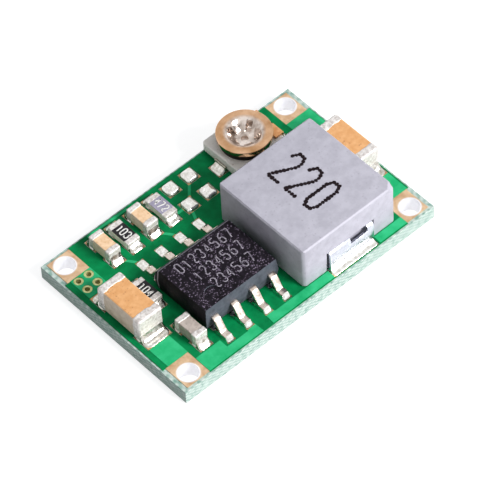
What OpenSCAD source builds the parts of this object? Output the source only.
// Adjustable step-down (buck) converter module: a small two-layer board that carries a
// regulator chip, a moulded power inductor, two large ceramic capacitors, a row of small
// chip parts and an open-frame trimmer that sets the output voltage.
// Origin: centre of the board's underside. +X runs from the input end to the output end,
// +Y towards the row of small parts, +Z up.

/* [Board] */
// Length of the board along X
board_l = 17; // [16.6:0.1:20]
// Width of the board along Y
board_w = 11; // [10.8:0.1:14]
// Finished thickness of the board, over both solder masks
board_t = 1.0; // [0.6:0.1:1.6]
// Thickness of each copper layer
copper_t = 0.04; // [0.03:0.01:0.07]
// Thickness of the solder mask over copper
mask_t = 0.03; // [0.02:0.01:0.05]
// Drop of the mask's surface beside copper
mask_step = 0.02; // [0.01:0.01:0.03]
// How far the mask stays back from the board's edge
mask_margin = 0.1; // [0.05:0.05:0.3]
// Bare gap between a pad and the mask round it
mask_gap = 0.05; // [0.03:0.01:0.1]

/* [Corner terminals] */
// Radius of the plated hole
hole_r = 0.55; // [0.4:0.05:0.6]
// Thickness of the plating in a hole
plating_t = 0.04; // [0.03:0.01:0.06]
// From the board's short edge to the hole's axis
hole_inset_x = 0.93; // [0.85:0.01:1.1]
// From the board's long edge to the hole's axis
hole_inset_y = 0.82; // [0.8:0.01:1.1]
// From the hole's axis to the pad's inner edge, along X
pad_inner_x = 0.82; // [0.7:0.01:0.95]
// From the hole's axis to the pad's inner edge, along Y
pad_inner_y = 0.97; // [0.8:0.01:1.05]
// From the hole's axis to the pad's outer edges
pad_outer = 0.66; // [0.63:0.01:0.75]

/* [Vias] */
// Radius of a via's open hole
via_r = 0.14; // [0.1:0.01:0.2]
// Width of the copper ring round a via, as a share of the room to its neighbour
via_ring_share = 0.6; // [0.5:0.05:0.75]
// Distance between neighbouring vias along X, as a share of the ground pour's width
via_spread_x = 0.515; // [0.45:0.005:0.52]
// Distance between neighbouring vias along Y, as a share of the room between the pads
via_spread_y = 0.436; // [0.38:0.002:0.45]
// From the corner pad to the middle of the vias, as a share of the same room
via_place = 0.4; // [0.38:0.01:0.55]

/* [Copper] */
// Width of a signal trace
trace_w = 0.16; // [0.12:0.02:0.2]
// How far copper stays back from the board's edge
copper_margin = 0.15; // [0.12:0.01:0.3]
// Least gap between two nets
copper_gap = 0.12; // [0.1:0.01:0.2]

/* [Solder] */
// Solder between a pad and the part on it
solder_t = 0.03; // [0.02:0.01:0.06]
// Height of the domes on the unused pads
dome_h = 0.2; // [0.1:0.05:0.3]
// Height of a fillet, as a share of the part's end that it wets
fillet_share = 0.6; // [0.3:0.05:0.8]

/* [Large capacitors] */
// Length along Y
big_cap_l = 3.2; // [2.8:0.1:3.5]
// Width along X
big_cap_w = 1.56; // [1.2:0.02:1.6]
// Height
big_cap_h = 1.5; // [0.8:0.1:2]
// Length of an end termination
big_cap_end = 0.5; // [0.3:0.05:0.7]
// Corner radius
big_cap_r = 0.12; // [0.05:0.01:0.2]
// Middle of the large capacitors, from the board's long centre line
big_cap_y = -0.05; // [-0.3:0.05:0.3]
// Length of a large capacitor's pad
big_pad_l = 1.1; // [0.9:0.05:1.3]
// How far a large capacitor's pad reaches beyond its end
big_pad_out = 0.6; // [0.3:0.05:0.75]

/* [Small chip parts] */
// Length of a small chip along Y
chip_l = 1.6; // [1.4:0.05:1.7]
// Width of a small chip along X
chip_w = 0.8; // [0.6:0.02:0.86]
// Height of a small capacitor
chip_cap_h = 0.8; // [0.5:0.05:0.9]
// Height of a small resistor
chip_res_h = 0.45; // [0.3:0.05:0.6]
// Length of an end termination
chip_end = 0.32; // [0.2:0.02:0.4]
// Thickness of the metal on the ends
chip_metal_t = 0.03; // [0.02:0.01:0.05]
// Corner radius of a small capacitor
chip_r = 0.08; // [0.04:0.01:0.12]
// From the input pad to the first part of the row
row_gap = 0.85; // [0.6:0.05:1.2]
// From the board's long edge to the middle of the row
row_inset = 1.55; // [1.5:0.05:1.8]
// Length of a small part's pad
chip_pad_l = 0.85; // [0.7:0.05:0.9]
// How far a small part's pad reaches beyond its end
chip_pad_out = 0.35; // [0.2:0.05:0.45]
// Middle of the enable resistor, from the board's long centre line
enable_y = 0.38; // [0.2:0.02:0.6]
// Middle of the boost capacitor, from the board's front edge
boost_front = 2.48; // [2.2:0.02:2.6]

/* [Regulator chip] */
// Length of the package along X
ic_l = 4.9; // [4.6:0.1:5]
// Width of the package along Y
ic_w = 3.9; // [3.6:0.1:4]
// Height of the package
ic_h = 1.45; // [1:0.05:1.7]
// Gap under the package
ic_standoff = 0.1; // [0.05:0.01:0.2]
// Slope of the package's sides, in degrees
ic_draft = 7; // [3:1:10]
// Width of the bevel along the top's back edge
ic_bevel = 0.25; // [0.1:0.05:0.4]
// Radius of the dimple that marks the first pin
ic_dimple_r = 0.45; // [0.2:0.05:0.5]
// Depth of that dimple
ic_dimple_d = 0.06; // [0.03:0.01:0.1]
// From the package's input side to the dimple's middle
ic_dimple_x = 1.15; // [0.8:0.05:1.2]
// From the package's front side to the dimple's middle
ic_dimple_y = 0.7; // [0.65:0.05:1]
// Distance between neighbouring pins
ic_pitch = 1.27; // [1.2:0.01:1.3]
// Width of a pin
pin_w = 0.42; // [0.3:0.02:0.5]
// Thickness of a pin
pin_t = 0.2; // [0.15:0.01:0.25]
// Reach of a pin beyond the package
pin_reach = 1.05; // [0.9:0.05:1.2]
// Length of a pin's flat foot
pin_foot = 0.5; // [0.4:0.05:0.6]
// Inner radius of a pin's bends
pin_bend_r = 0.1; // [0.06:0.01:0.15]
// How far a pin runs into the package
pin_root = 0.4; // [0.2:0.05:0.6]
// Width of a pin's pad
pin_pad_w = 0.6; // [0.5:0.02:0.7]
// Length of a pin's pad
pin_pad_l = 1.5; // [1.2:0.05:1.6]
// How far the pads of the front row reach beyond the pins
pin_pad_front = 0.2; // [0.2:0.05:0.5]
// The same for the back row, as a share of the room up to the small parts' pads
pin_pad_share = 0.6; // [0.3:0.05:0.7]

/* [Inductor] */
// Height of the inductor above the board
ind_h = 2.8; // [2:0.1:4]
// Gap under the moulded body
ind_standoff = 0.06; // [0.03:0.01:0.12]
// Slope of the body's sides, in degrees
ind_draft = 2; // [0:0.5:4]
// Radius of the body's upright edges
ind_corner_r = 0.4; // [0.2:0.05:0.7]
// Bevel round the top of the body
ind_bevel = 0.08; // [0.04:0.01:0.15]
// Size of the sloping cut at the marked top corner
ind_cut = 0.62; // [0.3:0.02:1]
// Slope of that cut, from upright
ind_cut_tilt = 38; // [20:1:60]
// Width of a terminal strap
strap_w = 3.0; // [2:0.1:3.4]
// Thickness of a terminal strap
strap_t = 0.15; // [0.1:0.01:0.2]
// Height at which a strap leaves the body
strap_z = 1.45; // [1:0.05:1.8]
// Inner radius of a strap's bends
strap_bend_r = 0.12; // [0.08:0.01:0.2]
// Length of the foot under the body
strap_foot = 1.0; // [0.6:0.1:1.4]
// How far a strap stands proud of the body's side
strap_proud = 0.14; // [0.05:0.01:0.2]
// How far a strap runs into the body at its upper end
strap_root = 0.5; // [0.3:0.1:0.8]
// Gap beside a strap in its recess
strap_gap = 0.12; // [0.06:0.01:0.2]
// Depth of the recess that a strap stands in
recess_d = 0.25; // [0.15:0.01:0.35]
// Width of the window in a strap's upper bend
window_w = 1.15; // [0.5:0.05:1.4]
// Middle of that window, from the strap's own middle
window_shift = 0.5; // [0:0.1:0.6]
// Height of the window in a strap's upper bend
window_h = 0.4; // [0.3:0.02:0.6]
// Length of a strap's pad
strap_pad_l = 1.4; // [1.2:0.05:1.6]
// How far a strap's pad reaches beyond the strap
strap_pad_out = 0.3; // [0.15:0.01:0.3]

/* [Trimmer] */
// Length of the ceramic base along X
trim_l = 3.3; // [3.1:0.05:3.5]
// Width of the ceramic base along Y
trim_w = 3.0; // [2.9:0.05:3.1]
// Height of the ceramic base
trim_base_h = 0.58; // [0.5:0.02:0.7]
// Corner radius of the ceramic base
trim_base_r = 0.2; // [0.1:0.05:0.4]
// Radius of the rotor's rim
rotor_r = 1.5; // [1.3:0.02:1.5]
// Thickness of the rotor's sheet
rotor_t = 0.12; // [0.08:0.01:0.15]
// Height of the rotor's turned-down rim
rotor_skirt = 0.28; // [0.15:0.01:0.3]
// Radius of the rotor's dished middle, at the rim
dish_r = 1.04; // [0.9:0.02:1.1]
// Depth of the dish
dish_d = 0.6; // [0.35:0.01:0.7]
// Radius of the flat bottom of the dish
dish_floor_r = 0.5; // [0.4:0.02:0.6]
// Inner radius of the rotor's eyelet
eyelet_r = 0.22; // [0.15:0.01:0.3]
// How far the eyelet's lower flange reaches out under the base
flange_out = 0.16; // [0.12:0.01:0.25]
// Width of the screwdriver slot
slot_w = 0.3; // [0.2:0.02:0.36]
// Length of the screwdriver slot
slot_l = 1.7; // [1.2:0.1:1.8]
// Angle of the screwdriver slot at rest
slot_angle = 28; // [0:1:90]
// Radial clearance of the eyelet in the base
eyelet_clearance = 0.04; // [0.02:0.01:0.08]
// Clearance between the rotor and the pieces that it turns over
rotor_gap = 0.05; // [0.03:0.01:0.1]
// Radius of the rotor's contact
wiper_r = 0.13; // [0.08:0.01:0.15]
// Gap between the contact and the carbon track
wiper_lift = 0.02; // [0.02:0.01:0.05]
// Width of the carbon track
track_w = 0.34; // [0.2:0.02:0.4]
// Thickness of the carbon track
track_t = 0.03; // [0.02:0.01:0.05]
// Thickness of the trimmer's terminals
tag_t = 0.12; // [0.08:0.01:0.15]
// Width of the trimmer's terminals
tag_w = 0.85; // [0.6:0.05:1]
// Height of the wiper terminal's flap up the side of the base
tag_flap = 0.35; // [0.3:0.05:0.55]
// From the base's long side to an end terminal
tag_inset = 0.45; // [0.15:0.05:0.5]
// Reach of the end terminals over the top of the base
tag_lip = 0.45; // [0.3:0.05:0.5]
// Length of a trimmer's pad
tag_pad_l = 0.95; // [0.8:0.05:1.1]
// How far a trimmer's pad reaches beyond its terminal
tag_pad_out = 0.4; // [0.3:0.02:0.45]

/* [Spacing] */
// Gap between the output capacitor and the inductor
gap_cap_inductor = 0.27; // [0.15:0.01:0.4]
// Gap between the inductor and the chip
gap_inductor_chip = 0.42; // [0.3:0.02:0.6]
// Gap between the chip and the small parts at its input end
gap_chip_parts = 0.23; // [0.15:0.01:0.4]
// Gap between those parts and the input capacitor
gap_parts_cap = 0.23; // [0.15:0.01:0.4]
// Gap between the inductor and the trimmer
gap_inductor_trimmer = 0.93; // [0.7:0.01:1.2]
// Gap between the row of small parts and the trimmer's pad
gap_row_trimmer = 0.68; // [0.4:0.02:1]
// From the board's output edge to the output capacitor
output_margin = 0.2; // [0.15:0.01:0.4]
// From the board's input edge to the input capacitor
input_margin = 0.43; // [0.2:0.01:0.6]
// From the board's front edge to the inductor's body
inductor_front = 0.62; // [0.55:0.01:0.8]
// From the board's front edge to the package of the chip
chip_front = 2.03; // [1.8:0.01:2.3]
// From the board's output edge to the trimmer's base
trimmer_right = 2.75; // [2.7:0.05:3]
// From the board's back edge to the trimmer's base
trimmer_back = 0.05; // [0.05:0.05:0.3]

/* [Hidden] */
$fn = 48;
e = 0.01; // overrun of a cutting tool past the face that it cuts
ic_pins = 4; // pins on one side; the nets below name them

// Heights, from the underside of the board
core_lo = mask_t + copper_t;
core_hi = board_t - mask_t - copper_t;
pad_z = board_t - mask_t; // top face of the copper
seat_z = pad_z + solder_t; // underside of the parts

// Board edges and terminal holes
edge_x = board_l / 2;
edge_y = board_w / 2;
hole_x = edge_x - hole_inset_x;
hole_y = edge_y - hole_inset_y;

// The lower row: parts stand in from both ends, and the inductor takes the room that is left
input_cap_x = input_margin + big_cap_w / 2 - edge_x;
side_x = input_cap_x + big_cap_w / 2 + gap_parts_cap + chip_w / 2;
ic_x = side_x + chip_w / 2 + gap_chip_parts + ic_l / 2;
output_cap_x = edge_x - output_margin - big_cap_w / 2;
ind_lo_x = ic_x + ic_l / 2 + gap_inductor_chip;
ind_hi_x = output_cap_x - big_cap_w / 2 - gap_cap_inductor;
ind_l = ind_hi_x - ind_lo_x;
ind_w = board_w - inductor_front - gap_inductor_trimmer - trim_w - trimmer_back;
ind_x = (ind_lo_x + ind_hi_x) / 2;
ind_y = inductor_front - edge_y + ind_w / 2;
ic_y = chip_front - edge_y + ic_w / 2;
boost_y = boost_front - edge_y;

// The trimmer
trim_x = edge_x - trimmer_right - trim_l / 2;
trim_y = edge_y - trimmer_back - trim_w / 2;
tag_pad_end = trim_x - trim_l / 2 - tag_t - tag_pad_out;

// Six small positions between the input pad and the trimmer; the last two carry no part
row_places = 6;
row_y = edge_y - row_inset;
row_lo_x = pad_inner_x - hole_x + row_gap + chip_w / 2;
row_hi_x = tag_pad_end - gap_row_trimmer - chip_w / 2;
row_pitch = (row_hi_x - row_lo_x) / (row_places - 1);
row_x = [for (i = [0:row_places - 1]) row_lo_x + i * row_pitch];

// Pins of the chip: their places along X, and how far they reach from the chip's middle
pin_xs = [for (i = [0:ic_pins - 1]) ic_x + (i - (ic_pins - 1) / 2) * ic_pitch];
pin_tip_y = ic_w / 2 + pin_reach;
row_pad_y = row_y - chip_l / 2 - chip_pad_out;
pin_pad_back = pin_pad_share * (row_pad_y - ic_y - pin_tip_y);

// The trimmer's heights above its seat
base_top = tag_t + trim_base_h;
dish_floor_z = base_top + rotor_gap + rotor_t;
rim_z = dish_floor_z + dish_d;
flange_z = tag_t + rotor_gap;
track_r = rotor_r - rotor_t - rotor_gap - track_w / 2;
end_tag_y = trim_w / 2 - tag_inset - tag_w / 2;

// The outer face of a strap, from the inductor's middle
strap_face = ind_w / 2 + strap_proud;

// Copper pours
via_lo_x = input_cap_x - big_cap_w / 2;
via_hi_x = pad_inner_x - hole_x;
via_x = (via_lo_x + via_hi_x) / 2;
via_pitch_x = via_spread_x * (via_hi_x - via_lo_x);
via_hi_y = hole_y - pad_inner_y;
via_room = via_hi_y - big_cap_y - big_cap_l / 2 - big_pad_out;
via_y = via_hi_y - via_place * via_room;
via_pitch_y = via_spread_y * via_room;
via_ring_r = via_r + via_ring_share * (min(via_pitch_x, via_pitch_y) / 2 - via_r);
pour_lo = copper_margin - edge_y;
front_lane_y = ic_y - pin_tip_y - pin_pad_front - copper_gap;
step_y = boost_y - chip_l / 2 - chip_pad_out - copper_gap;

// Pads, each as [middle x, middle y, size x, size y]
small_pads = [for (x = row_x, side = [-1, 1]) chip_pad(x, row_y, side)];
side_pads = [for (y = [enable_y, boost_y], side = [-1, 1]) chip_pad(side_x, y, side)];
large_pads = [for (x = [input_cap_x, output_cap_x], side = [-1, 1])
    [x, big_cap_y + side * (big_cap_l / 2 + big_pad_out - big_pad_l / 2), big_cap_w, big_pad_l]];
pin_pads = [for (x = pin_xs, side = [-1, 1])
    [x, ic_y + side * (pin_tip_y + pin_pad_over(side) - pin_pad_l / 2), pin_pad_w, pin_pad_l]];
strap_pads = [for (side = [-1, 1])
    [ind_x, ind_y + side * (strap_face + strap_pad_out - strap_pad_l / 2), strap_w, strap_pad_l]];
tag_pads = concat(
    [[tag_pad_end + tag_pad_l / 2, trim_y, tag_pad_l, tag_w]],
    [for (side = [-1, 1])
        [trim_x + trim_l / 2 + tag_t + tag_pad_out - tag_pad_l / 2, trim_y + side * end_tag_y,
            tag_pad_l, tag_w]]);
spare_pads = [for (i = [8:11]) small_pads[i]];
part_pads = concat(small_pads, side_pads, large_pads, pin_pads, strap_pads, tag_pads);

// Middle of each end's pad of a small part that lies along Y; side is -1 in front, 1 behind
function chip_pad(x, y, side) =
    [x, y + side * (chip_l / 2 + chip_pad_out - chip_pad_l / 2), chip_w, chip_pad_l];

function pin_pad_over(side) = side < 0 ? pin_pad_front : pin_pad_back;

// ---------- plane shapes ----------

module rounded_2d(l, w, r) {
    square([l - 2 * r, w], center = true);
    square([l, w - 2 * r], center = true);
    for (sx = [-1, 1], sy = [-1, 1])
        translate([sx * (l / 2 - r), sy * (w / 2 - r)]) circle(r);
}

// Rectangle between two opposite corners
module box_2d(a, b) {
    translate([min(a[0], b[0]), min(a[1], b[1])])
        square([abs(b[0] - a[0]), abs(b[1] - a[1])]);
}

module pads_2d(pads, grow = 0) {
    for (p = pads)
        translate([p[0], p[1]]) square([p[2] + 2 * grow, p[3] + 2 * grow], center = true);
}

// Quarter of a ring about the origin, in the quadrant that sx and sy name
module bend_2d(inner, t, sx, sy) {
    intersection() {
        difference() {
            circle(inner + t);
            circle(inner);
        }
        box_2d([0, 0], [sx * (inner + t), sy * (inner + t)]);
    }
}

// Cross-section of a solder fillet: a corner at the origin, filled to a hollow arc
module fillet_2d(l, h) {
    chord = norm([l, h]);
    sag = 0.14 * chord;
    arc_r = (chord * chord / 4 + sag * sag) / (2 * sag);
    difference() {
        polygon([[0, 0], [l, 0], [0, h]]);
        translate([l / 2, h / 2] + (arc_r - sag) * [h, l] / chord) circle(arc_r);
    }
}

module segment_2d(a, b) {
    d = b - a;
    translate(a) rotate(atan2(d[1], d[0]))
        translate([0, -trace_w / 2]) square([norm(d), trace_w]);
    for (p = [a, b]) translate(p) circle(trace_w / 2);
}

module trace_2d(points) {
    for (i = [0:len(points) - 2]) segment_2d(points[i], points[i + 1]);
}

// ---------- solids used more than once ----------

// Runs a profile drawn in (out, up) along X, w wide; side -1 turns it to the front
module along_x(w, side = 1) {
    mirror([0, side < 0 ? 1 : 0, 0]) rotate([90, 0, 90])
        translate([0, 0, -w / 2]) linear_extrude(w) children();
}

// Runs a profile drawn in (out, up) along Y, w wide; side -1 turns it to the input end
module along_y(w, side = 1) {
    mirror([side < 0 ? 1 : 0, 0, 0]) rotate([90, 0, 0])
        translate([0, 0, -w / 2]) linear_extrude(w) children();
}

// Block with all its edges rounded, standing on its base
module soft_block(l, w, h, r) {
    intersection() {
        linear_extrude(h) rounded_2d(l, w, r);
        translate([0, 0, h / 2]) along_y(w) rounded_2d(l, h, r);
        translate([0, 0, h / 2]) along_x(l) rounded_2d(w, h, r);
    }
}

// Flat layer of solder on one pad
module pad_solder(p) {
    translate([p[0] - p[2] / 2, p[1] - p[3] / 2, pad_z]) cube([p[2], p[3], solder_t]);
}

// Solder up the end of a part that stands at [x, y]
module end_fillet(x, y, side, w, l, h) {
    translate([x, y, seat_z]) along_x(w, side) fillet_2d(l, h);
}

// ---------- board ----------

module at_terminals() {
    for (sx = [-1, 1], sy = [-1, 1])
        translate([sx * hole_x, sy * hole_y]) mirror([sx < 0 ? 1 : 0, 0, 0])
            mirror([0, sy < 0 ? 1 : 0, 0]) children();
}

module at_vias() {
    for (ix = [-1, 1], iy = [-1, 1])
        translate([via_x + ix * via_pitch_x / 2, via_y + iy * via_pitch_y / 2]) children();
}

// A terminal's pad, with its hole at the origin and the board's corner towards +X and +Y
module terminal_pad_2d() {
    box_2d([-pad_inner_x, -pad_inner_y], [pad_outer, pad_outer]);
}

// The mask's cut-out at a corner: from the pad's inner edges out past the board's corner
module corner_opening_2d() {
    box_2d([-pad_inner_x, -pad_inner_y], [hole_inset_x + e, hole_inset_y + e]);
}

module woven_laminate() {
    color([0.80, 0.82, 0.70]) difference() {
        translate([-edge_x, -edge_y, core_lo]) cube([board_l, board_w, core_hi - core_lo]);
        at_terminals() translate([0, 0, core_lo - e])
            cylinder(r = hole_r + plating_t, h = core_hi - core_lo + 2 * e);
        at_vias() translate([0, 0, core_lo - e])
            cylinder(r = via_r + plating_t, h = core_hi - core_lo + 2 * e);
    }
}

// Plated-through corner hole with a pad on each side
module terminal(sx, sy) {
    color([0.84, 0.66, 0.48]) translate([sx * hole_x, sy * hole_y, 0])
        mirror([sx < 0 ? 1 : 0, 0, 0]) mirror([0, sy < 0 ? 1 : 0, 0]) difference() {
            union() {
                for (z = [mask_t, core_hi])
                    translate([0, 0, z]) linear_extrude(copper_t) terminal_pad_2d();
                translate([0, 0, mask_t]) cylinder(r = hole_r + plating_t, h = pad_z - mask_t);
            }
            translate([0, 0, mask_t - e]) cylinder(r = hole_r, h = pad_z - mask_t + 2 * e);
        }
}

module via_barrels() {
    color([0.84, 0.80, 0.55]) at_vias() difference() {
        union() {
            for (z = [mask_t, core_hi])
                translate([0, 0, z]) cylinder(r = via_ring_r, h = copper_t);
            translate([0, 0, mask_t]) cylinder(r = via_r + plating_t, h = pad_z - mask_t);
        }
        translate([0, 0, mask_t - e]) cylinder(r = via_r, h = pad_z - mask_t + 2 * e);
    }
}

// Input supply: from the corner terminal to the input capacitor and the second pin
module input_pour_2d() {
    pad_top = -hole_y + pad_inner_y;
    pad_right = -hole_x + pad_inner_x;
    box_2d([input_cap_x - big_cap_w / 2, pad_top], [pad_right, large_pads[0][1]]);
    box_2d([pad_right, pour_lo], [pin_pads[0][0] - pin_pad_w / 2 - copper_gap, step_y]);
    box_2d([pad_right, pour_lo], [pin_pads[2][0] + pin_pad_w / 2, front_lane_y]);
    box_2d([pin_pads[2][0] - pin_pad_w / 2, pour_lo],
        [pin_pads[2][0] + pin_pad_w / 2, pin_pads[2][1]]);
}

// Ground at the input end, with its vias
module ground_pour_2d() {
    box_2d([via_lo_x, large_pads[1][1]], [via_hi_x, via_hi_y]);
}

// Switching node: from the third pin along the front edge to the inductor
module switch_pour_2d() {
    box_2d([pin_pads[4][0] - pin_pad_w / 2, pour_lo], [strap_pads[0][0], front_lane_y]);
    box_2d([pin_pads[4][0] - pin_pad_w / 2, pour_lo],
        [pin_pads[4][0] + pin_pad_w / 2, pin_pads[4][1]]);
}

// Output: from the inductor's back strap to the output capacitor and its terminal
module output_pour_2d() {
    box_2d([strap_pads[1][0], strap_pads[1][1]], [edge_x - copper_margin, large_pads[3][1]]);
    box_2d([hole_x - pad_inner_x, large_pads[3][1]], [edge_x - copper_margin, hole_y - pad_inner_y]);
}

// Return at the output end
module return_pour_2d() {
    box_2d([strap_pads[0][0] + strap_w / 2 + copper_gap, pour_lo],
        [hole_x - pad_inner_x, front_lane_y]);
    box_2d([output_cap_x - big_cap_w / 2, -hole_y + pad_inner_y],
        [output_cap_x + big_cap_w / 2, large_pads[2][1]]);
}

module signal_traces_2d() {
    front = small_pads[0][1];
    back = small_pads[1][1];
    pin_back = pin_pads[1][1] + pin_pad_l / 2 - trace_w;
    rail_y = edge_y - copper_margin - trace_w / 2;
    trace_2d([[row_x[0], front], [pin_xs[0], pin_back]]);
    trace_2d([[row_x[2], front], [pin_xs[2], pin_back]]);
    trace_2d([[row_x[3], front], [row_x[4], front], [pin_xs[3], pin_back]]);
    trace_2d([[row_x[4], front], [row_x[5], back]]);
    trace_2d([[row_x[0], back], [row_x[0], rail_y], [row_x[2], rail_y], [row_x[2], back]]);
    trace_2d([[row_x[1], back], [row_x[1], rail_y]]);
}

module copper_top_2d() {
    pads_2d(part_pads);
    input_pour_2d();
    difference() {
        ground_pour_2d();
        at_vias() circle(via_ring_r);
    }
    switch_pour_2d();
    output_pour_2d();
    return_pour_2d();
    signal_traces_2d();
}

// Ground plane: whole but for the corner terminals
module copper_bottom_2d() {
    difference() {
        box_2d([-edge_x + copper_margin, -edge_y + copper_margin],
            [edge_x - copper_margin, edge_y - copper_margin]);
        at_terminals() box_2d([-pad_inner_x - copper_gap, -pad_inner_y - copper_gap],
            [hole_inset_x, hole_inset_y]);
        at_vias() circle(via_ring_r);
    }
}

module copper_top() {
    color([0.80, 0.52, 0.34])
        translate([0, 0, core_hi]) linear_extrude(copper_t) copper_top_2d();
}

module copper_bottom() {
    color([0.80, 0.52, 0.34])
        translate([0, 0, mask_t]) linear_extrude(copper_t) copper_bottom_2d();
}

// Outline of either mask, open over the corner terminals and the vias
module mask_outline_2d() {
    difference() {
        box_2d([-edge_x + mask_margin, -edge_y + mask_margin],
            [edge_x - mask_margin, edge_y - mask_margin]);
        at_terminals() corner_opening_2d();
        at_vias() circle(via_ring_r);
    }
}

// Top mask's outline, open over the pads too
module mask_top_2d() {
    difference() {
        mask_outline_2d();
        pads_2d(part_pads, mask_gap);
    }
}

module mask_top() {
    color([0.05, 0.50, 0.30]) difference() {
        translate([0, 0, core_hi]) {
            linear_extrude(board_t - mask_step - core_hi) mask_top_2d();
            linear_extrude(board_t - core_hi) intersection() {
                mask_top_2d();
                copper_top_2d();
            }
        }
        copper_top();
    }
}

module mask_bottom() {
    color([0.05, 0.50, 0.30]) difference() {
        union() {
            translate([0, 0, mask_step]) linear_extrude(core_lo - mask_step) mask_outline_2d();
            linear_extrude(core_lo) intersection() {
                mask_outline_2d();
                copper_bottom_2d();
            }
        }
        copper_bottom();
    }
}

// ---------- chip parts: each lies along Y at [x, y], its base on the solder ----------

// Ceramic block of a capacitor; its metal ends stand proud of it by chip_metal_t
module capacitor_block(l, w, h, r) {
    inset = chip_metal_t;
    translate([0, 0, inset]) soft_block(w - 2 * inset, l - 2 * inset, h - 2 * inset, r - inset);
}

module capacitor_ends(l, w, h, r, end) {
    difference() {
        intersection() {
            soft_block(w, l, h, r);
            for (side = [-1, 1])
                translate([-w, side > 0 ? l / 2 - end : -l / 2 - e, -e])
                    cube([2 * w, end + e, h + 2 * e]);
        }
        capacitor_block(l, w, h, r);
    }
}

module resistor_block() {
    translate([-chip_w / 2, chip_metal_t - chip_l / 2, chip_metal_t])
        cube([chip_w, chip_l - 2 * chip_metal_t, chip_res_h - 2 * chip_metal_t]);
}

module resistor_coat() {
    translate([-chip_w / 2, chip_end - chip_l / 2, chip_res_h - chip_metal_t])
        cube([chip_w, chip_l - 2 * chip_end, chip_metal_t]);
}

// Metal ends of a resistor: each wraps the top, the end and the underside
module resistor_ends() {
    for (side = [-1, 1]) along_x(chip_w, side) difference() {
        box_2d([chip_l / 2 - chip_end, 0], [chip_l / 2, chip_res_h]);
        box_2d([0, chip_metal_t], [chip_l / 2 - chip_metal_t, chip_res_h - chip_metal_t]);
    }
}

module large_capacitor(x) {
    color([0.90, 0.66, 0.42]) translate([x, big_cap_y, seat_z])
        capacitor_block(big_cap_l, big_cap_w, big_cap_h, big_cap_r);
}

module large_capacitor_ends(x) {
    color([0.85, 0.84, 0.82]) translate([x, big_cap_y, seat_z])
        capacitor_ends(big_cap_l, big_cap_w, big_cap_h, big_cap_r, big_cap_end);
}

module small_capacitor(x, y) {
    color([0.90, 0.68, 0.45]) translate([x, y, seat_z])
        capacitor_block(chip_l, chip_w, chip_cap_h, chip_r);
}

module small_capacitor_ends(x, y) {
    color([0.85, 0.84, 0.82]) translate([x, y, seat_z])
        capacitor_ends(chip_l, chip_w, chip_cap_h, chip_r, chip_end);
}

module resistor(x, y) {
    color([0.92, 0.91, 0.88]) translate([x, y, seat_z]) resistor_block();
}

module resistor_overcoat(x, y) {
    color([0.16, 0.15, 0.16]) translate([x, y, seat_z]) resistor_coat();
}

module resistor_metal(x, y) {
    color([0.85, 0.84, 0.82]) translate([x, y, seat_z]) resistor_ends();
}

// ---------- regulator chip, about its middle, base on the solder ----------

// One pin in (out, up): root, shoulder, bend, leg, bend and foot
module pin_2d() {
    foot_bend_y = pin_tip_y - pin_foot;
    leg_y = foot_bend_y - pin_bend_r;
    shoulder_bend_y = leg_y - pin_t - pin_bend_r;
    top_z = ic_standoff + ic_h / 2 + pin_t / 2;
    box_2d([ic_w / 2 - pin_root, top_z - pin_t], [shoulder_bend_y, top_z]);
    translate([shoulder_bend_y, top_z - pin_t - pin_bend_r]) bend_2d(pin_bend_r, pin_t, 1, 1);
    box_2d([leg_y - pin_t, pin_t + pin_bend_r], [leg_y, top_z - pin_t - pin_bend_r]);
    translate([foot_bend_y, pin_t + pin_bend_r]) bend_2d(pin_bend_r, pin_t, -1, -1);
    box_2d([foot_bend_y, 0], [pin_tip_y, pin_t]);
}

module pins() {
    for (x = pin_xs, side = [-1, 1]) translate([x, ic_y, seat_z]) along_x(pin_w, side) pin_2d();
}

module chip_pins() {
    color([0.80, 0.78, 0.74]) pins();
}

// Sloping sides above and below the parting line, in (across, up)
module package_2d(size, bevel) {
    lean = ic_h / 2 * tan(ic_draft);
    half = size / 2;
    bevel_lean = (ic_h / 2 - bevel) * tan(ic_draft);
    polygon([
        [lean - half, 0], [half - lean, 0], [half, ic_h / 2],
        [half - bevel_lean, ic_h - bevel], [half - lean - bevel, ic_h],
        [lean - half, ic_h], [-half, ic_h / 2]
    ]);
}

module chip_package() {
    color([0.16, 0.15, 0.18]) difference() {
        translate([ic_x, ic_y, seat_z + ic_standoff]) difference() {
            intersection() {
                along_y(ic_w) package_2d(ic_l, e);
                along_x(ic_l) package_2d(ic_w, ic_bevel);
            }
            translate([ic_dimple_x - ic_l / 2, ic_dimple_y - ic_w / 2, ic_h - ic_dimple_d])
                cylinder(r = ic_dimple_r, h = ic_dimple_d + e);
        }
        pins();
    }
}

// ---------- inductor, about its middle, base on the solder ----------

module inductor_side_2d(size) {
    half = size / 2;
    mid = (ind_h + ind_standoff) / 2;
    low_lean = (mid - ind_standoff) * tan(ind_draft);
    top_lean = (ind_h - ind_bevel - mid) * tan(ind_draft);
    polygon([
        [low_lean - half, ind_standoff], [half - low_lean, ind_standoff], [half, mid],
        [half - top_lean, ind_h - ind_bevel], [half - top_lean - ind_bevel, ind_h],
        [top_lean + ind_bevel - half, ind_h], [top_lean - half, ind_h - ind_bevel], [-half, mid]
    ]);
}

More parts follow.
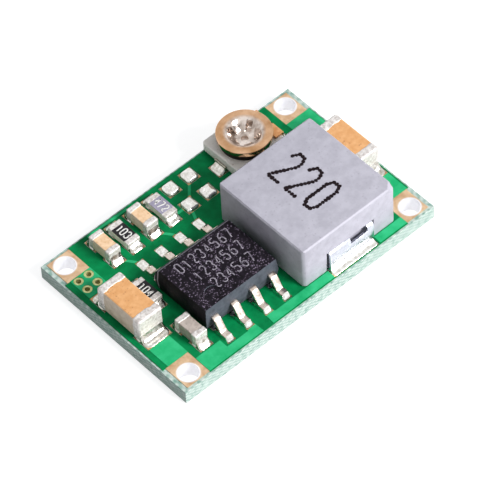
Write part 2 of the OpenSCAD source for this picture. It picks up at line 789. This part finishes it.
// One strap in (out, up): root in the body, bend, leg down the side, bend and foot
module strap_2d() {
    leg_y = strap_face - strap_t;
    bend_y = leg_y - strap_bend_r;
    box_2d([ind_w / 2 - recess_d - strap_root, strap_z - strap_t], [bend_y, strap_z]);
    translate([bend_y, strap_z - strap_t - strap_bend_r]) bend_2d(strap_bend_r, strap_t, 1, 1);
    box_2d([leg_y, strap_t + strap_bend_r], [strap_face, strap_z - strap_t - strap_bend_r]);
    translate([bend_y, strap_t + strap_bend_r]) bend_2d(strap_bend_r, strap_t, 1, -1);
    box_2d([bend_y - strap_foot, 0], [bend_y, strap_t]);
}

module strap(side) {
    difference() {
        along_x(strap_w, side) strap_2d();
        translate([window_shift - window_w / 2, 0, strap_z - window_h])
            along_side(side) translate([0, ind_w / 2 - recess_d, 0])
                cube([window_w, strap_proud + recess_d + e, window_h + e]);
    }
}

module along_side(side) {
    mirror([0, side < 0 ? 1 : 0, 0]) children();
}

module inductor_strap(side) {
    color([0.86, 0.86, 0.88]) translate([ind_x, ind_y, seat_z]) strap(side);
}

// Recess in the side and underside that a strap stands in, and the pocket of its root
module strap_recess(side) {
    wide = strap_w + 2 * strap_gap;
    foot_end = strap_face - strap_t - strap_bend_r - strap_foot - strap_gap;
    along_x(wide, side) {
        box_2d([ind_w / 2 - recess_d, -e], [ind_w / 2 + e, strap_z]);
        box_2d([foot_end, -e], [ind_w / 2, strap_t + e]);
    }
    along_x(strap_w, side)
        box_2d([ind_w / 2 - recess_d - strap_root, strap_z - strap_t], [ind_w / 2, strap_z]);
}

// Sloping cut at the top corner at the output end, in front
module corner_cut() {
    translate([ind_l / 2 - ind_cut / 2, ind_cut / 2 - ind_w / 2, ind_h])
        rotate([0, 0, -45]) rotate([0, -ind_cut_tilt, 0])
            translate([0, -ind_cut * 2, -ind_h]) cube([ind_cut * 2, ind_cut * 4, ind_h * 2]);
}

module inductor_body() {
    color([0.72, 0.71, 0.75]) translate([ind_x, ind_y, seat_z]) difference() {
        intersection() {
            along_y(ind_w) inductor_side_2d(ind_l);
            along_x(ind_l) inductor_side_2d(ind_w);
            linear_extrude(ind_h) rounded_2d(ind_l, ind_w, ind_corner_r);
        }
        for (side = [-1, 1]) strap_recess(side);
        corner_cut();
    }
}

// ---------- trimmer, about its middle, base on the solder ----------

module at_trimmer() {
    translate([trim_x, trim_y, seat_z]) children();
}

module trimmer_base() {
    bore_r = eyelet_r + rotor_t + eyelet_clearance;
    flange_room = bore_r + flange_out + rotor_gap;
    color([0.88, 0.86, 0.82]) at_trimmer() difference() {
        translate([0, 0, tag_t]) linear_extrude(trim_base_h) rounded_2d(trim_l, trim_w, trim_base_r);
        translate([0, 0, tag_t - e]) cylinder(r = bore_r, h = trim_base_h + 2 * e);
        translate([0, 0, tag_t - e]) cylinder(r = flange_room, h = rotor_t + 2 * rotor_gap + e);
    }
}

// Carbon track: a ring open towards the output end, with a tail under each end terminal's lip
module trimmer_track() {
    tail_y = end_tag_y - tag_w / 2;
    color([0.12, 0.11, 0.11]) at_trimmer() translate([0, 0, base_top]) linear_extrude(track_t) {
        difference() {
            circle(track_r + track_w / 2);
            circle(track_r - track_w / 2);
            box_2d([0, -tail_y], [trim_l / 2, tail_y]);
        }
        for (side = [-1, 1])
            box_2d([track_r * cos(45), side * tail_y], [trim_l / 2, side * (tail_y + track_w)]);
    }
}

// Plate under the base and a flap up its side at the input end
module trimmer_wiper_tag() {
    color([0.80, 0.74, 0.62]) at_trimmer() along_y(tag_w, -1) {
        box_2d([0, 0], [trim_l / 2 + tag_t, tag_t]);
        box_2d([trim_l / 2, 0], [trim_l / 2 + tag_t, tag_flap]);
    }
}

// Two clips round the edge of the base at the output end
module trimmer_end_tags() {
    lip_z = base_top + track_t;
    color([0.88, 0.60, 0.36]) at_trimmer() for (side = [-1, 1])
        translate([0, side * end_tag_y, 0]) along_y(tag_w) {
            box_2d([trim_l / 2 - tag_lip, 0], [trim_l / 2 + tag_t, tag_t]);
            box_2d([trim_l / 2, 0], [trim_l / 2 + tag_t, lip_z + tag_t]);
            box_2d([trim_l / 2 - tag_lip, lip_z], [trim_l / 2 + tag_t, lip_z + tag_t]);
        }
}

// Rotor's section in (radius, up): flange, eyelet, dish floor, dish wall, rim and skirt
module rotor_2d() {
    shank_r = eyelet_r + rotor_t;
    polygon([
        [eyelet_r, flange_z], [shank_r + flange_out, flange_z],
        [shank_r + flange_out, flange_z + rotor_t], [shank_r, flange_z + rotor_t],
        [shank_r, dish_floor_z - rotor_t], [dish_floor_r, dish_floor_z - rotor_t],
        [dish_r, rim_z - rotor_t], [rotor_r - rotor_t, rim_z - rotor_t],
        [rotor_r - rotor_t, rim_z - rotor_skirt], [rotor_r, rim_z - rotor_skirt],
        [rotor_r, rim_z - rotor_t / 2], [rotor_r - rotor_t / 2, rim_z],
        [dish_r, rim_z], [dish_floor_r, dish_floor_z], [eyelet_r, dish_floor_z]
    ]);
}

module trimmer_rotor() {
    color([0.90, 0.68, 0.46]) at_trimmer() rotate(slot_angle) {
        difference() {
            rotate_extrude() rotor_2d();
            for (turn = [0, 90]) rotate(turn)
                translate([-slot_l / 2, -slot_w / 2, dish_floor_z - rotor_t - e])
                    cube([slot_l, slot_w, dish_d + rotor_t + 2 * e]);
        }
        translate([0, track_r, base_top + track_t + wiper_lift])
            cylinder(r = wiper_r, h = rim_z - rotor_t - base_top - track_t - wiper_lift);
    }
}

// ---------- solder ----------

module solder_color() {
    color([0.83, 0.84, 0.85]) children();
}

module solder_small() {
    rows = [for (i = [0:3]) [row_x[i], row_y, i % 2 == 0 ? chip_cap_h : chip_res_h]];
    sides = [[side_x, enable_y, chip_res_h], [side_x, boost_y, chip_cap_h]];
    solder_color() for (part = concat(rows, sides), side = [-1, 1]) {
        pad_solder(chip_pad(part[0], part[1], side));
        end_fillet(part[0], part[1] + side * chip_l / 2, side, chip_w, chip_pad_out,
            part[2] * fillet_share);
    }
}

module solder_large() {
    solder_color() {
        for (p = large_pads) pad_solder(p);
        for (x = [input_cap_x, output_cap_x], side = [-1, 1])
            end_fillet(x, big_cap_y + side * big_cap_l / 2, side, big_cap_w, big_pad_out,
                big_cap_h * fillet_share);
    }
}

module solder_chip() {
    solder_color() {
        for (p = pin_pads) pad_solder(p);
        for (x = pin_xs, side = [-1, 1])
            end_fillet(x, ic_y + side * pin_tip_y, side, pin_w, pin_pad_front, pin_t);
    }
}

module solder_inductor() {
    solder_color() {
        for (p = strap_pads) pad_solder(p);
        for (side = [-1, 1])
            end_fillet(ind_x, ind_y + side * strap_face, side, strap_w, strap_pad_out,
                strap_z * fillet_share / 2);
    }
}

module solder_trimmer() {
    solder_color() {
        for (p = tag_pads) pad_solder(p);
        translate([trim_x, trim_y, seat_z]) {
            translate([-trim_l / 2 - tag_t, 0, 0]) along_y(tag_w, -1)
                fillet_2d(tag_pad_out, tag_flap * fillet_share);
            for (side = [-1, 1]) translate([trim_l / 2 + tag_t, side * end_tag_y, 0])
                along_y(tag_w) fillet_2d(tag_pad_out, tag_flap * fillet_share);
        }
    }
}

// Solder left standing on the pads that carry no part
module solder_spare_pads() {
    solder_color() for (p = spare_pads) {
        reach = norm([p[2], p[3]]) / 2;
        dome_r = (reach * reach + dome_h * dome_h) / (2 * dome_h);
        translate([p[0], p[1], pad_z]) intersection() {
            translate([0, 0, dome_h - dome_r]) sphere(dome_r);
            translate([-p[2] / 2, -p[3] / 2, 0]) cube([p[2], p[3], dome_h]);
        }
    }
}

// ---------- the part ----------

terminal(-1, -1);  // terminal_in_positive
terminal(-1, 1);  // terminal_in_negative
terminal(1, 1);  // terminal_out_positive
terminal(1, -1);  // terminal_out_negative
woven_laminate();
copper_top();
copper_bottom();
mask_top();
mask_bottom();
via_barrels();
chip_package();
chip_pins();
inductor_body();
inductor_strap(-1);  // inductor_strap_front
inductor_strap(1);  // inductor_strap_back
large_capacitor(input_cap_x);  // input_capacitor
large_capacitor_ends(input_cap_x);  // input_capacitor_ends
large_capacitor(output_cap_x);  // output_capacitor
large_capacitor_ends(output_cap_x);  // output_capacitor_ends
small_capacitor(row_x[0], row_y);  // timing_capacitor
small_capacitor_ends(row_x[0], row_y);  // timing_capacitor_ends
small_capacitor(row_x[2], row_y);  // filter_capacitor
small_capacitor_ends(row_x[2], row_y);  // filter_capacitor_ends
small_capacitor(side_x, boost_y);  // boost_capacitor
small_capacitor_ends(side_x, boost_y);  // boost_capacitor_ends
resistor(side_x, enable_y);  // enable_resistor
resistor_overcoat(side_x, enable_y);  // enable_resistor_coat
resistor_metal(side_x, enable_y);  // enable_resistor_ends
resistor(row_x[1], row_y);  // divider_resistor
resistor_overcoat(row_x[1], row_y);  // divider_resistor_coat
resistor_metal(row_x[1], row_y);  // divider_resistor_ends
resistor(row_x[3], row_y);  // limit_resistor
resistor_overcoat(row_x[3], row_y);  // limit_resistor_coat
resistor_metal(row_x[3], row_y);  // limit_resistor_ends
trimmer_base();
trimmer_track();
trimmer_wiper_tag();
trimmer_end_tags();
trimmer_rotor();
solder_chip();
solder_inductor();
solder_large();
solder_small();
solder_trimmer();
solder_spare_pads();
